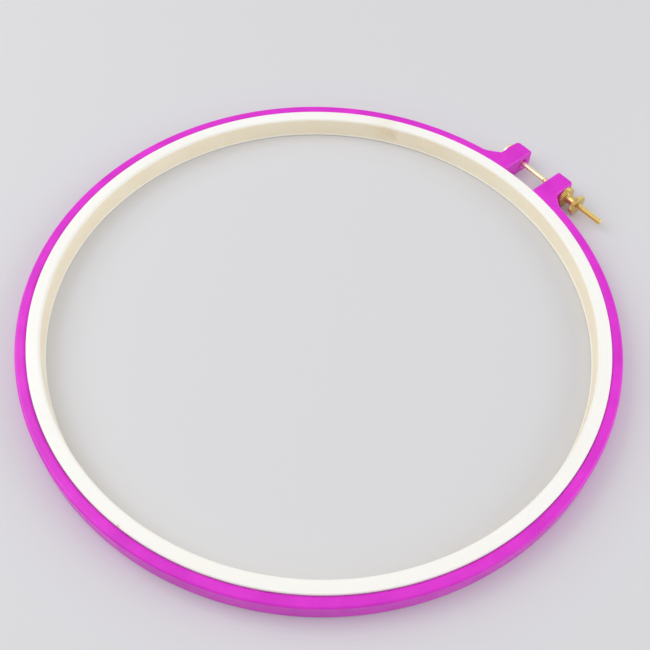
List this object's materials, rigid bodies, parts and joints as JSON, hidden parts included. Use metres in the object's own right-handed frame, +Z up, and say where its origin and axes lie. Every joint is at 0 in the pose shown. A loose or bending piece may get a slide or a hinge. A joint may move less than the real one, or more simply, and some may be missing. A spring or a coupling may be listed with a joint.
{
  "type": "embroidery hoop",
  "caption": "Round embroidery hoop: a closed inner ring inside a split outer ring with two lugs, which a screw with a knurled spool nut draws together.",
  "frame": {"origin": "on the rings' common axis, in the plane that the hoop lies on", "axes": "+Z up out of the hoop's plane, +X through the middle of the clamp gap, the clamp screw along Y with its thumb nut on the -Y side"},
  "size_m": [0.275, 0.26, 0.0106],
  "materials": {
    "white_plastic": "smooth moulded plastic, slightly warm white",
    "magenta_plastic": "smooth moulded plastic, bright purple-magenta",
    "screw_brass": "bright drawn brass, rolled thread",
    "nut_brass": "turned brass, straight knurl"
  },
  "bodies": {
    "inner_ring": {"inner_ring": "white_plastic"},
    "outer_ring": {"outer_ring": "magenta_plastic"},
    "thumb_nut": {"thumb_nut": "nut_brass"},
    "clamp_screw": {"clamp_screw": "screw_brass"}
  },
  "joints": [
    {"name": "outer_ring_lift", "type": "slide", "parent": "inner_ring", "child": "outer_ring", "axis": [0, 0, 1], "range_m": [0, 0.03]},
    {"name": "nut_turn", "type": "hinge", "parent": "outer_ring", "child": "thumb_nut", "pos_m": [0.1393, 0, 0.005], "axis": [0, -1, 0], "range_deg": [0, 9720]},
    {"name": "screw_draw", "type": "slide", "parent": "outer_ring", "child": "clamp_screw", "axis": [0, 1, 0], "range_m": [0, 0.0135]}
  ],
  "couplings": [
    {"joint": "nut_turn", "follows": "screw_draw", "rad_per_m": 12566}
  ]
}
